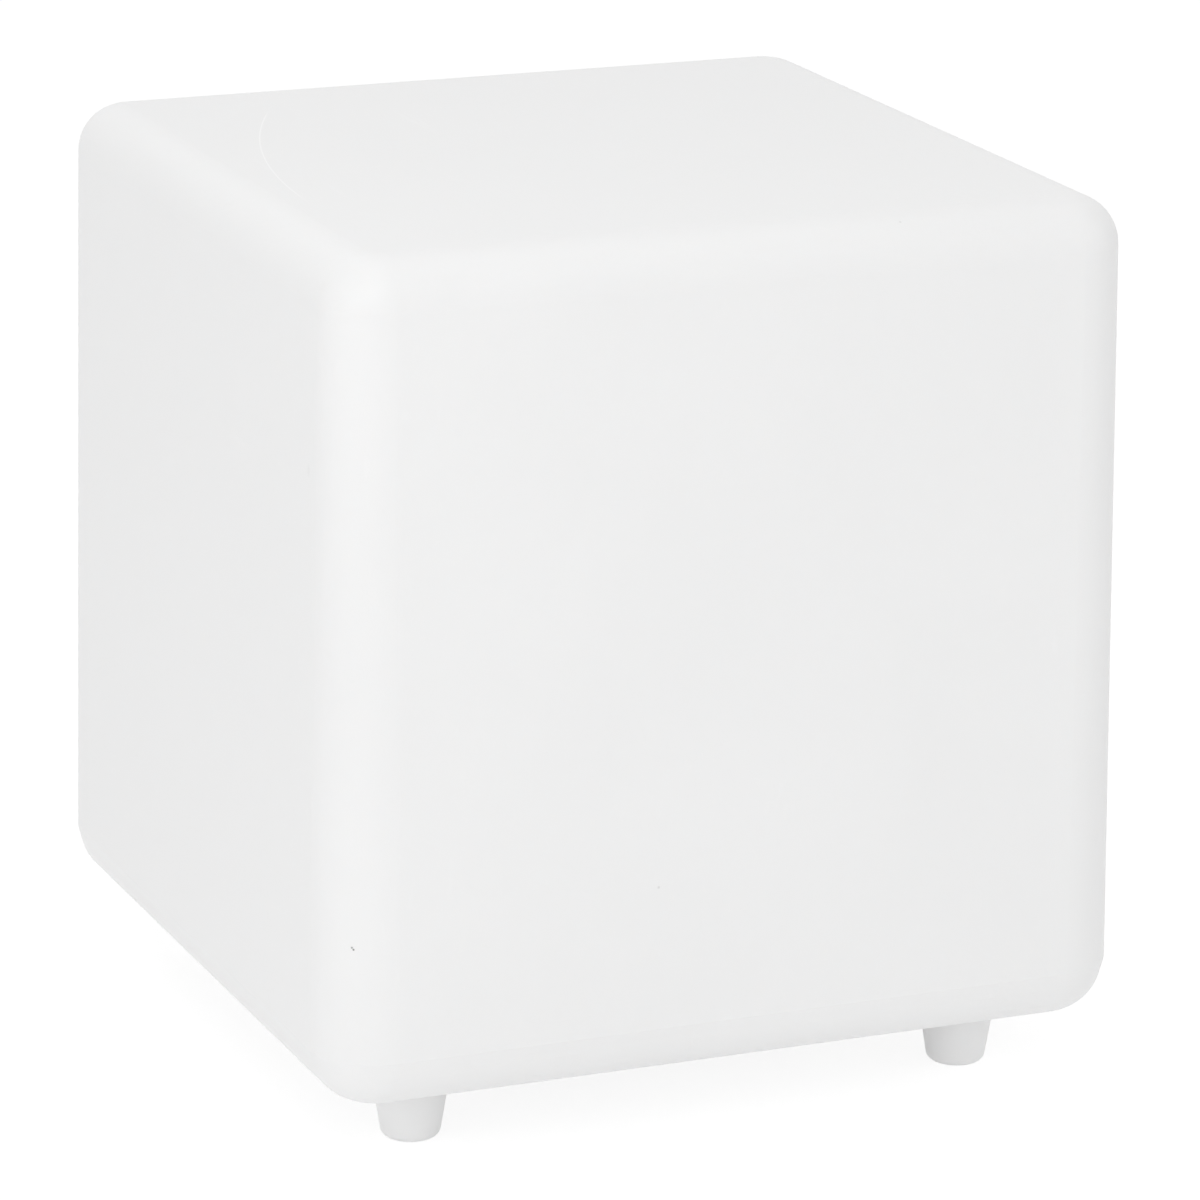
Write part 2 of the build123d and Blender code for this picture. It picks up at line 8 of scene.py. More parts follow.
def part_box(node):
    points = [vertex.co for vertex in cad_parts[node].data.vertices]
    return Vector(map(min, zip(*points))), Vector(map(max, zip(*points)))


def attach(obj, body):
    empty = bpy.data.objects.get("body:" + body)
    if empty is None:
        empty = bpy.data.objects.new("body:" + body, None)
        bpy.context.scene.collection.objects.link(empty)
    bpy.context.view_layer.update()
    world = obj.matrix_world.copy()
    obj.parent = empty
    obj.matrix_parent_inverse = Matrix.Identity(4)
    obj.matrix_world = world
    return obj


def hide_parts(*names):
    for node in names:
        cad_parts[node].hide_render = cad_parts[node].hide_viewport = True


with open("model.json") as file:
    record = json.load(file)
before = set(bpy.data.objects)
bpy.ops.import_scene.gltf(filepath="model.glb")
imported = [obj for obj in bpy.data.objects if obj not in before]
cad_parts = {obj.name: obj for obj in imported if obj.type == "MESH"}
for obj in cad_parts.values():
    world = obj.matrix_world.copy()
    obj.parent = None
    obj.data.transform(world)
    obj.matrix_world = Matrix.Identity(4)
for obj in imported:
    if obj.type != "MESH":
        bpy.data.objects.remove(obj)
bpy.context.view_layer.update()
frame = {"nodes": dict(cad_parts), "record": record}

# White cube lamp on four tapered feet, in metres. The floor is at height 0 and -Y is the front.
nodes = frame["nodes"]
bpy.ops.object.select_all(action="DESELECT")


def feed(tree, socket, value):
    # a value is either another node's output or a plain number, colour or vector
    if isinstance(value, bpy.types.NodeSocket):
        tree.links.new(value, socket)
    else:
        socket.default_value = value


def addNode(tree, kind, inputs=None, **settings):
    node = tree.nodes.new(kind)
    for key, value in settings.items():
        setattr(node, key, value)
    for key, value in (inputs or {}).items():
        feed(tree, node.inputs[key], value)
    return node


def doMath(tree, operation, *values, clamp=False):
    inputs = dict(enumerate(values))
    return addNode(tree, "ShaderNodeMath", inputs, operation=operation, use_clamp=clamp).outputs[0]


def remap(tree, value, fromLow, fromHigh, toLow, toHigh, soft=False):
    inputs = {"Value": value, "From Min": fromLow, "From Max": fromHigh,
              "To Min": toLow, "To Max": toHigh}
    return addNode(tree, "ShaderNodeMapRange", inputs,
                   interpolation_type="SMOOTHSTEP" if soft else "LINEAR").outputs["Result"]


def mixColors(tree, factor, first, second):
    # a mix node has sockets of every kind: 0 is its factor, 6 and 7 its colours, 2 the mixed colour
    inputs = {0: factor, 6: first, 7: second}
    return addNode(tree, "ShaderNodeMix", inputs, data_type="RGBA").outputs[2]


def combineVectors(tree, operation, first, second):
    inputs = {0: first, 1: second}
    return addNode(tree, "ShaderNodeVectorMath", inputs, operation=operation).outputs[0]


def vectorLength(tree, vector):
    return addNode(tree, "ShaderNodeVectorMath", {0: vector}, operation="LENGTH").outputs["Value"]


def objectPlace(tree):
    return addNode(tree, "ShaderNodeTexCoord").outputs["Object"]


def splitPlace(tree, vector):
    return addNode(tree, "ShaderNodeSeparateXYZ", {"Vector": vector}).outputs


def noise(tree, place, scale, detail, roughness=0.5, distortion=0.0):
    inputs = {"Vector": place, "Scale": scale, "Detail": detail, "Roughness": roughness,
              "Distortion": distortion}
    return addNode(tree, "ShaderNodeTexNoise", inputs).outputs["Fac"]


def newGroup(name, inputs, outputs):
    group = bpy.data.node_groups.new(name, "ShaderNodeTree")
    for label, kind, value in inputs:
        socket = group.interface.new_socket(name=label, in_out="INPUT", socket_type=kind)
        socket.default_value = value
    for label, kind in outputs:
        group.interface.new_socket(name=label, in_out="OUTPUT", socket_type=kind)
    return group, group.nodes.new("NodeGroupInput"), group.nodes.new("NodeGroupOutput")


def useGroup(tree, group, inputs=None):
    return addNode(tree, "ShaderNodeGroup", inputs, node_tree=group).outputs


def grey(level):
    return (level, level, level, 1.0)


def opaque(color):
    return (*color, 1.0)


# parts of a cloud pattern that run from one tone or roughness to the other
toneSpan = (0.32, 0.68)
roughSpan = (0.3, 0.7)
veilSpan = (0.3, 0.7)

skinPattern = {
    "grainShare": 0.6, "peelShare": 0.5,      # of the height of the skin
    "peelScale": 0.28,                        # orange peel is coarser than the grain
    "streakTurn": (0.3, 0.5, 0.9), "streakScale": (260.0, 18.0, 90.0),
    "streakFrom": 0.68, "streakFull": 0.76,   # only the strongest streaks show
    "patchScale": 14.0, "patchFrom": 0.56, "patchFull": 0.70,
}


def makeMouldedSkin(s):
    # fine grain of a moulded face, soft clouds of tone, and rare light scuffs
    number = "NodeSocketFloat"
    group, given, result = newGroup("mouldedSkin", [
        ("Grain Size", number, 0.0008), ("Cloud Size", number, 0.06), ("Scuffs", number, 0.3),
    ], [("Grain", number), ("Clouds", number), ("Scuff", number)])
    place = objectPlace(group)
    grainScale = doMath(group, "DIVIDE", 1.0, given.outputs["Grain Size"])
    cloudScale = doMath(group, "DIVIDE", 1.0, given.outputs["Cloud Size"])
    grain = noise(group, place, grainScale, 2.5, roughness=0.55)
    peel = addNode(group, "ShaderNodeTexVoronoi", {
        "Vector": place, "Scale": doMath(group, "MULTIPLY", grainScale, s["peelScale"]),
        "Smoothness": 0.9}, feature="SMOOTH_F1").outputs["Distance"]
    height = doMath(group, "ADD", doMath(group, "MULTIPLY", grain, s["grainShare"]),
                    doMath(group, "MULTIPLY", peel, s["peelShare"]))
    clouds = noise(group, place, cloudScale, 3.0, distortion=0.4)
    stretched = addNode(group, "ShaderNodeMapping", {
        "Vector": place, "Rotation": s["streakTurn"], "Scale": s["streakScale"]}).outputs[0]
    streaks = noise(group, stretched, 1.0, 1.0)
    patches = noise(group, place, s["patchScale"], 1.0)
    scuff = doMath(group, "MULTIPLY",
                   remap(group, streaks, s["streakFrom"], s["streakFull"], 0.0, 1.0),
                   remap(group, patches, s["patchFrom"], s["patchFull"], 0.0, 1.0))
    scuff = doMath(group, "MULTIPLY", scuff, given.outputs["Scuffs"])
    for label, value in (("Grain", height), ("Clouds", clouds), ("Scuff", scuff)):
        group.links.new(value, result.inputs[label])
    return group


dustPattern = {
    "slopeFrom": 0.55, "slopeFull": 0.95,     # upward part of the normal
    "crumbScale": 420.0, "crumbFrom": 0.40, "crumbFull": 0.75,
    "veilScale": 22.0, "veilThin": 0.4,
}


def makeSettledDust(s):
    # dust lies on faces that look up and gathers in small crumbs
    number = "NodeSocketFloat"
    group, given, result = newGroup("settledDust", [("Amount", number, 0.2)], [("Dust", number)])
    normal = addNode(group, "ShaderNodeNewGeometry").outputs["Normal"]
    up = splitPlace(group, normal)["Z"]
    place = objectPlace(group)
    crumbs = noise(group, place, s["crumbScale"], 2.0)
    veil = noise(group, place, s["veilScale"], 3.0)
    dust = doMath(group, "MULTIPLY", remap(group, up, s["slopeFrom"], s["slopeFull"], 0.0, 1.0),
                  remap(group, crumbs, s["crumbFrom"], s["crumbFull"], 0.0, 1.0))
    dust = doMath(group, "MULTIPLY", dust, remap(group, veil, *veilSpan, s["veilThin"], 1.0))
    dust = doMath(group, "MULTIPLY", dust, given.outputs["Amount"])
    group.links.new(dust, result.inputs["Dust"])
    return group


def makeSpot():
    # a round or oval spot at one place, full in its middle fifth and soft to its rim
    vector = "NodeSocketVector"
    group, given, result = newGroup("spot", [
        ("Place", vector, (0.0, 0.0, 0.0)), ("Reach", vector, (0.001, 0.001, 0.001)),
    ], [("Spot", "NodeSocketFloat")])
    apart = combineVectors(group, "SUBTRACT", objectPlace(group), given.outputs["Place"])
    share = vectorLength(group, combineVectors(group, "DIVIDE", apart, given.outputs["Reach"]))
    group.links.new(remap(group, share, 0.2, 1.0, 1.0, 0.0, soft=True), result.inputs["Spot"])
    return group


metalPattern = {"stretch": (0.06, 0.06, 1.0), "dullScale": 350.0}


def makeDrawnMetal(s):
    # fine parallel lines from drawing or turning, with duller clouds
    number = "NodeSocketFloat"
    group, given, result = newGroup("drawnMetal", [("Line Size", number, 0.0002)],
                                    [("Lines", number), ("Dull", number)])
    place = objectPlace(group)
    scale = doMath(group, "DIVIDE", 1.0, given.outputs["Line Size"])
    stretched = combineVectors(group, "MULTIPLY", place, s["stretch"])
    group.links.new(noise(group, stretched, scale, 2.0), result.inputs["Lines"])
    group.links.new(noise(group, place, s["dullScale"], 3.0), result.inputs["Dull"])
    return group


mouldedSkin = makeMouldedSkin(skinPattern)
settledDust = makeSettledDust(dustPattern)
spot = makeSpot()
drawnMetal = makeDrawnMetal(metalPattern)


def newMaterial(name, shaderValues):
    material = bpy.data.materials.new(name)
    material.use_nodes = True
    tree = material.node_tree
    shader = tree.nodes["Principled BSDF"]
    for key, value in shaderValues.items():
        shader.inputs[key].default_value = value
    return material, tree, shader


def addBump(tree, shader, height, depth):
    bump = addNode(tree, "ShaderNodeBump", {"Height": height, "Strength": 1.0, "Distance": depth})
    tree.links.new(bump.outputs["Normal"], shader.inputs["Normal"])


shellFinish = {
    "light": 0.891, "dark": 0.879,        # tone of the white, between clouds
    "roughLow": 0.40, "roughHigh": 0.52,
    "grainSize": 0.0011, "grainDepth": 0.00005, "cloudSize": 0.075,
    "scuffs": 0.35, "scuffColor": 0.91,
    "scuffPolish": 0.12,                  # how much smoother a scuff is
    "dust": 0.05, "dustColor": (0.80, 0.78, 0.75, 1.0),
    "speckColor": (0.10, 0.095, 0.09, 1.0),
    # place, reach and darkness of each fleck
    "specks": [((-0.13156, -0.13436, 0.0803), (0.0005, 0.0005, 0.0005), 0.75),
               ((-0.13115, -0.13470, 0.0797), (0.0005, 0.0005, 0.0005), 0.90),
               ((0.05545, -0.12862, 0.29785), (0.0006, 0.0006, 0.0006), 0.14),
               ((-0.02911, -0.13933, 0.08941), (0.0007, 0.0007, 0.0007), 0.17),
               ((-0.13736, -0.11190, 0.23029), (0.0016, 0.0016, 0.0027), 0.045)],
    # faint witness line where the halves of the mould met
    "lineHeight": 0.0415, "lineWidth": 0.00025, "lineDepth": 0.000012,
}

# painted highlight: a thin pale arc on the top where light catches an edge, with its circle and
# where along it the highlight fades in and out
paintedArcHighlight = {
    "centre": (0.2025, -0.0553, 0.0), "radius": 0.3164, "width": 0.0004, "color": 0.96,
    "fadeIn": (-0.056, -0.022), "fadeOut": (0.078, 0.094),
    "topFace": (0.2985, 0.2995), "leftSide": (-0.075, -0.060),
}


# where the painted highlight arc lies on the top
def arcHighlightMask(tree, place, s):
    apart = combineVectors(tree, "SUBTRACT", place, s["centre"])
    reach = vectorLength(tree, combineVectors(tree, "MULTIPLY", apart, (1.0, 1.0, 0.0)))
    offArc = doMath(tree, "ABSOLUTE", doMath(tree, "SUBTRACT", reach, s["radius"]))
    mask = remap(tree, offArc, 0.0, s["width"], 1.0, 0.0, soft=True)
    split = splitPlace(tree, place)
    for axis, ends, levels in (("Y", s["fadeIn"], (0.0, 1.0)), ("Y", s["fadeOut"], (1.0, 0.0)),
                               ("Z", s["topFace"], (0.0, 1.0)), ("X", s["leftSide"], (1.0, 0.0))):
        fade = remap(tree, split[axis], *ends, *levels, soft=True)
        mask = doMath(tree, "MULTIPLY", mask, fade)
    return mask


def makeShellPlastic(s):
    # thick white polyethylene: matt, faintly waxy and a little translucent
    material, tree, shader = newMaterial("shellPlastic", {
        "IOR": 1.51, "Specular IOR Level": 0.42, "Subsurface Weight": 0.2,
        "Subsurface Radius": (1.0, 0.95, 0.9), "Subsurface Scale": 0.0015,
    })
    place = objectPlace(tree)
    skin = useGroup(tree, mouldedSkin, {"Grain Size": s["grainSize"], "Cloud Size": s["cloudSize"],
                                        "Scuffs": s["scuffs"]})
    dust = useGroup(tree, settledDust, {"Amount": s["dust"]})["Dust"]
    clouds = remap(tree, skin["Clouds"], *toneSpan, 0.0, 1.0)
    color = mixColors(tree, clouds, grey(s["dark"]), grey(s["light"]))
    # painted highlight: a thin pale arc on the top, standing in for light catching an edge
    color = mixColors(tree, arcHighlightMask(tree, place, paintedArcHighlight), color, grey(paintedArcHighlight["color"]))
    color = mixColors(tree, skin["Scuff"], color, grey(s["scuffColor"]))
    color = mixColors(tree, dust, color, s["dustColor"])
    for where, reach, darkness in s["specks"]:
        mask = useGroup(tree, spot, {"Place": where, "Reach": reach})["Spot"]
        color = mixColors(tree, doMath(tree, "MULTIPLY", mask, darkness), color, s["speckColor"])
    tree.links.new(color, shader.inputs["Base Color"])
    rough = remap(tree, skin["Clouds"], *roughSpan, s["roughLow"], s["roughHigh"])
    polish = doMath(tree, "MULTIPLY", skin["Scuff"], s["scuffPolish"])
    rough = doMath(tree, "SUBTRACT", rough, polish)
    tree.links.new(rough, shader.inputs["Roughness"])
    height = splitPlace(tree, place)["Z"]
    offLine = doMath(tree, "ABSOLUTE", doMath(tree, "SUBTRACT", height, s["lineHeight"]))
    witness = remap(tree, offLine, 0.0, s["lineWidth"], 1.0, 0.0, soft=True)
    witness = doMath(tree, "MULTIPLY", witness, s["lineDepth"] / s["grainDepth"])
    addBump(tree, shader, doMath(tree, "ADD", skin["Grain"], witness), s["grainDepth"])
    return material


# tone is the colour at its darkest and lightest, and depth is the height of the grain in metres
mouldedFinishes = {
    # the feet are the shell's white plastic, painted paler than the shell to make up for the shade
    # they stand in under the body
    "foot_plastic": {"tone": ((0.92, 0.92, 0.92), (0.935, 0.935, 0.935)), "rough": (0.38, 0.50),
                     "grain": 0.0007, "depth": 0.00003, "scuffs": 0.35,
                     "shader": {"IOR": 1.51, "Specular IOR Level": 0.42, "Subsurface Weight": 0.15,
                                "Subsurface Radius": (1.0, 0.95, 0.9), "Subsurface Scale": 0.0015}},
    "plate_plastic": {"tone": ((0.80, 0.80, 0.79), (0.83, 0.83, 0.82)), "rough": (0.42, 0.55),
                      "grain": 0.0004, "depth": 0.00003, "scuffs": 0.5, "shader": {"IOR": 1.49}},
    "housing_plastic": {"tone": ((0.79, 0.79, 0.77), (0.83, 0.83, 0.81)), "rough": (0.35, 0.5),
                        "grain": 0.0005, "depth": 0.00002, "scuffs": 0.2, "shader": {"IOR": 1.49}},
    "opal_plastic": {"tone": ((0.86, 0.86, 0.84), (0.89, 0.89, 0.87)), "rough": (0.16, 0.24),
                     "grain": 0.004, "depth": 0.000012, "scuffs": 0.1,
                     "shader": {"IOR": 1.49, "Subsurface Weight": 0.4, "Subsurface Scale": 0.002,
                                "Subsurface Radius": (1.0, 0.97, 0.94)}},
    "button_plastic": {"tone": ((0.14, 0.15, 0.16), (0.17, 0.18, 0.19)), "rough": (0.40, 0.52),
                       "grain": 0.0003, "depth": 0.000025, "scuffs": 0.25, "shader": {"IOR": 1.5}},
    "black_plastic": {"tone": ((0.032, 0.032, 0.036), (0.05, 0.05, 0.055)), "rough": (0.36, 0.5),
                      "grain": 0.0004, "depth": 0.00002, "scuffs": 0.2, "shader": {"IOR": 1.5}},
    "grey_silicone": {"tone": ((0.32, 0.33, 0.34), (0.38, 0.39, 0.40)), "rough": (0.55, 0.7),
                      "grain": 0.0005, "depth": 0.00003, "scuffs": 0.15,
                      "shader": {"IOR": 1.41, "Sheen Weight": 0.25, "Sheen Roughness": 0.4}},
    "seal_rubber": {"tone": ((0.035, 0.035, 0.035), (0.06, 0.06, 0.06)), "rough": (0.6, 0.78),
                    "grain": 0.0006, "depth": 0.00003, "scuffs": 0.1, "shader": {"IOR": 1.5}},
    "lead_insulation": {"tone": ((0.38, 0.03, 0.025), (0.50, 0.05, 0.04)), "rough": (0.35, 0.45),
                        "grain": 0.0006, "depth": 0.00001, "scuffs": 0.1, "shader": {"IOR": 1.5}},
    "lamp_phosphor": {"tone": ((0.86, 0.76, 0.36), (0.92, 0.83, 0.46)), "rough": (0.3, 0.42),
                      "grain": 0.0003, "depth": 0.000015, "scuffs": 0.0,
                      "shader": {"IOR": 1.43, "Subsurface Weight": 0.2,
                                 "Subsurface Scale": 0.0005}},
    "board_white": {"tone": ((0.82, 0.82, 0.80), (0.87, 0.87, 0.85)), "rough": (0.28, 0.38),
                    "grain": 0.0006, "depth": 0.00001, "scuffs": 0.2,
                    "shader": {"IOR": 1.5, "Coat Weight": 0.2, "Coat Roughness": 0.25}},
    "cell_wrap": {"tone": ((0.06, 0.21, 0.44), (0.09, 0.28, 0.55)), "rough": (0.24, 0.36),
                  "grain": 0.003, "depth": 0.00003, "scuffs": 0.3,
                  "shader": {"IOR": 1.54, "Coat Weight": 0.3, "Coat Roughness": 0.2}},
}

mouldedWear = {
    "cloudsPerGrain": 40,                    # clouds are this many grains across
    "scuffKeep": 0.75, "scuffLift": 0.22,    # a scuff keeps part of the tone and is paler
    "scuffStrength": 0.6,
}


def makeMoulded(name, s, wear):
    material, tree, shader = newMaterial(name, s["shader"])
    skin = useGroup(tree, mouldedSkin, {
        "Grain Size": s["grain"], "Cloud Size": wear["cloudsPerGrain"] * s["grain"],
        "Scuffs": s["scuffs"]})
    dark, light = s["tone"]
    clouds = remap(tree, skin["Clouds"], *toneSpan, 0.0, 1.0)
    color = mixColors(tree, clouds, opaque(dark), opaque(light))
    paler = [wear["scuffKeep"] * level + wear["scuffLift"] for level in light]
    scuff = doMath(tree, "MULTIPLY", skin["Scuff"], wear["scuffStrength"])
    color = mixColors(tree, scuff, color, opaque(paler))
    tree.links.new(color, shader.inputs["Base Color"])
    tree.links.new(remap(tree, skin["Clouds"], *roughSpan, *s["rough"]), shader.inputs["Roughness"])
    addBump(tree, shader, skin["Grain"], s["depth"])
    return material


metalFinishes = {
    "screw_steel": {"tone": ((0.50, 0.50, 0.50), (0.66, 0.66, 0.67)), "rough": (0.26, 0.42)},
    "contact_nickel": {"tone": ((0.58, 0.56, 0.51), (0.70, 0.68, 0.63)), "rough": (0.22, 0.36)},
    "insert_brass": {"tone": ((0.62, 0.45, 0.18), (0.76, 0.59, 0.29)), "rough": (0.24, 0.40)},
}
metalLines = {"spacing": 0.0002, "depth": 0.000006}   # in metres


def makeMetal(name, s, lines):
    # the brighter the tone, the smoother the metal
    material, tree, shader = newMaterial(name, {"Metallic": 1.0})
    metal = useGroup(tree, drawnMetal, {"Line Size": lines["spacing"]})
    dark, light = s["tone"]
    clouds = remap(tree, metal["Dull"], 0.35, 0.65, 0.0, 1.0)
    color = mixColors(tree, clouds, opaque(dark), opaque(light))
    tree.links.new(color, shader.inputs["Base Color"])
    smooth, rough = s["rough"]
    roughness = remap(tree, metal["Dull"], *roughSpan, rough, smooth)
    tree.links.new(roughness, shader.inputs["Roughness"])
    addBump(tree, shader, metal["Lines"], lines["depth"])
    return material


clearFinish = {"tint": (0.93, 0.95, 0.96), "transmission": 0.6, "rough": (0.16, 0.28),
               "grain": 0.001, "depth": 0.000006, "clouds": 0.01, "scuffs": 0.2}


def makeClearPlastic(s):
    material, tree, shader = newMaterial("clearPlastic", {
        "Base Color": opaque(s["tint"]), "IOR": 1.49, "Transmission Weight": s["transmission"],
    })
    skin = useGroup(tree, mouldedSkin, {"Grain Size": s["grain"], "Cloud Size": s["clouds"],
                                        "Scuffs": s["scuffs"]})
    tree.links.new(remap(tree, skin["Clouds"], *roughSpan, *s["rough"]), shader.inputs["Roughness"])
    addBump(tree, shader, skin["Grain"], s["depth"])
    return material


boardFinish = {"mask": (0.015, 0.16, 0.065), "copper": (0.05, 0.30, 0.13), "rough": (0.28, 0.4),
               "trackScale": 160.0, "trackWidth": 0.06, "trackDepth": 0.00003, "patchScale": 55.0}


def makeBoardGreen(s):
    # solder mask over copper: fine tracks show as slightly lighter, raised lines
    material, tree, shader = newMaterial("boardGreen", {
        "IOR": 1.5, "Coat Weight": 0.35, "Coat Roughness": 0.2,
    })
    place = objectPlace(tree)
    tracks = addNode(tree, "ShaderNodeTexBrick", {
        "Vector": place, "Scale": s["trackScale"], "Mortar Size": s["trackWidth"],
        "Mortar Smooth": 0.2, "Brick Width": 2.4, "Row Height": 0.35,
        "Color1": grey(0.0), "Color2": grey(0.0), "Mortar": grey(1.0)}, offset=0.37)
    patches = noise(tree, place, s["patchScale"], 1.0)
    copper = doMath(tree, "MULTIPLY", tracks.outputs["Color"],
                    remap(tree, patches, 0.47, 0.5, 0.0, 1.0))
    color = mixColors(tree, copper, opaque(s["mask"]), opaque(s["copper"]))
    tree.links.new(color, shader.inputs["Base Color"])
    tree.links.new(remap(tree, patches, *roughSpan, *s["rough"]), shader.inputs["Roughness"])
    addBump(tree, shader, copper, s["trackDepth"])
    return material


def camelName(slotName):
    first, *rest = slotName.split("_")
    return first + "".join(word.capitalize() for word in rest)


materials = {"shell_plastic": makeShellPlastic(shellFinish),
             "clear_plastic": makeClearPlastic(clearFinish),
             "board_green": makeBoardGreen(boardFinish)}
for slotName, values in mouldedFinishes.items():
    materials[slotName] = makeMoulded(camelName(slotName), values, mouldedWear)
for slotName, values in metalFinishes.items():
    materials[slotName] = makeMetal(camelName(slotName), values, metalLines)
for part in frame["record"]["subparts"]:
    nodes[part["node"]].material_slots[0].material = materials[part["material_slot"]]
print("finishes:", len(materials))

weldDistance = 0.000002     # points closer than this become one
sliverSize = 0.000004       # faces thinner than this are closed up
nearby = 0.00005            # how close to a place a point has to be to count as on it


def selectEdges(piece, test):
    # leaves edit mode on with the edges selected whose two ends both pass the test
    bpy.ops.object.mode_set(mode="EDIT")
    bpy.ops.mesh.select_mode(type="EDGE")
    bpy.ops.mesh.select_all(action="DESELECT")
    bpy.ops.object.mode_set(mode="OBJECT")
    points = piece.data.vertices
    for edge in piece.data.edges:
        edge.select = all(test(points[i].co) for i in edge.vertices)
    bpy.ops.object.mode_set(mode="EDIT")


def makeActive(piece):
    bpy.ops.object.select_all(action="DESELECT")
    piece.select_set(True)
    bpy.context.view_layer.objects.active = piece


def turned(name, section, centre=(0.0, 0.0), sides=72, closed=False):
    # draws a half section of (radius, height) points and spins it round an upright axis
    bpy.ops.object.select_all(action="DESELECT")
    bpy.ops.mesh.primitive_plane_add(size=0.001, location=(0, 0, 0))
    piece = bpy.context.object
    piece.name = piece.data.name = name
    bpy.ops.object.mode_set(mode="EDIT")
    bpy.ops.mesh.select_mode(type="VERT")
    bpy.ops.mesh.select_all(action="SELECT")
    bpy.ops.mesh.merge(type="CENTER")      # one point is left, and the section grows out of it
    points = list(section) + ([section[0]] if closed else [])
    bpy.ops.transform.translate(value=(centre[0] + points[0][0], centre[1], points[0][1]))
    for last, point in zip(points, points[1:]):
        step = (point[0] - last[0], 0, point[1] - last[1])
        bpy.ops.mesh.extrude_region_move(TRANSFORM_OT_translate={"value": step})
    bpy.ops.mesh.select_all(action="SELECT")
    bpy.ops.mesh.spin(steps=sides, angle=2 * math.pi, center=(*centre, 0), axis=(0, 0, 1))
    bpy.ops.mesh.select_all(action="SELECT")
    bpy.ops.mesh.remove_doubles(threshold=weldDistance)
    bpy.ops.mesh.normals_make_consistent(inside=False)
    bpy.ops.object.mode_set(mode="OBJECT")
    return piece


def bevelEdges(piece, test, width, segments):
    makeActive(piece)
    selectEdges(piece, test)
    bpy.ops.mesh.bevel(offset=width, segments=segments, profile=0.5, affect="EDGES")
    bpy.ops.object.mode_set(mode="OBJECT")


def onLevel(height):
    return lambda p: abs(p.z - height) < nearby


def onRing(centre, radius, height):
    return lambda p: (onLevel(height)(p)
                      and abs(math.hypot(p.x - centre[0], p.y - centre[1]) - radius) < nearby)


def applyModifiers(piece):
    makeActive(piece)
    for modifier in list(piece.modifiers):
        bpy.ops.object.modifier_apply(modifier=modifier.name)


def combine(piece, other, operation):
    # joins or cuts with another piece, and leaves clean triangles where the two met
    boolean = piece.modifiers.new("combine", "BOOLEAN")
    boolean.operation, boolean.solver, boolean.object = operation, "EXACT", other
    applyModifiers(piece)
    bpy.data.objects.remove(other)
    bpy.ops.object.mode_set(mode="EDIT")
    bpy.ops.mesh.select_all(action="SELECT")
    bpy.ops.mesh.remove_doubles(threshold=weldDistance)
    bpy.ops.mesh.quads_convert_to_tris(quad_method="BEAUTY", ngon_method="BEAUTY")
    bpy.ops.mesh.select_all(action="SELECT")
    bpy.ops.mesh.dissolve_degenerate(threshold=sliverSize)
    bpy.ops.object.mode_set(mode="OBJECT")


def joinPieces(name, pieces):
    bpy.ops.object.select_all(action="DESELECT")
    for piece in pieces:
        piece.select_set(True)
    bpy.context.view_layer.objects.active = pieces[0]
    if len(pieces) > 1:
        bpy.ops.object.join()
    joined = bpy.context.object
    joined.name = joined.data.name = name
    return joined


def finishPiece(piece, body, slotName, replaced=None, angle=30):
    makeActive(piece)
    bpy.ops.object.transform_apply(location=True, rotation=True, scale=True)
    bpy.ops.object.shade_smooth_by_angle(angle=math.radians(angle))
    piece.data.materials.clear()
    piece.data.materials.append(materials[slotName])
    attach(piece, body)
    if replaced:
        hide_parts(replaced)
    print("made", piece.name, len(piece.data.polygons))
    return piece


photoView = {
    "azimuth": -0.3956, "elevation": 0.2843, "roll": 0.0106,   # radians
    "distance": 2.06775, "shiftRight": 0.006933, "shiftUp": -0.01701,
    "focalPixels": 6125.14, "photoPixels": 1200, "sensor": 36,   # a square photo, sensor in mm
    "middle": (0.0, 0.0, 0.1615),
}


def addCamera(s):
    turn, tilt = s["azimuth"], s["elevation"]
    level = Vector((math.cos(turn), math.sin(turn), 0))
    outward = Vector((math.sin(turn), -math.cos(turn), 0))
    back = math.cos(tilt) * outward + math.sin(tilt) * Vector((0, 0, 1))
    upright = back.cross(level)
    right = math.cos(s["roll"]) * level + math.sin(s["roll"]) * upright
    up = math.cos(s["roll"]) * upright - math.sin(s["roll"]) * level
    place = Matrix((right, up, back)).transposed().to_4x4()
    place.translation = (Vector(s["middle"]) + s["distance"] * back + s["shiftRight"] * right
                         + s["shiftUp"] * up)
    bpy.ops.object.camera_add()
    camera = bpy.context.object
    camera.name = "photoCamera"
    camera.matrix_world = place
    camera.data.sensor_width = s["sensor"]
    camera.data.lens = s["focalPixels"] / s["photoPixels"] * s["sensor"]
    camera.data.clip_end = 30
    bpy.context.scene.camera = camera


addCamera(photoView)
print("camera placed")


feet = {
    "topRadius": 0.0132, "bottomRadius": 0.0095, "edgeRadius": 0.0026, "rimRadius": 0.0003,
    "spigotRadius": 0.0080, "spigotHeight": 0.0020, "boreRadius": 0.00225,
    "wellRadius": 0.0045, "wellDepth": 0.0100, "wellChamfer": 0.0004,
}


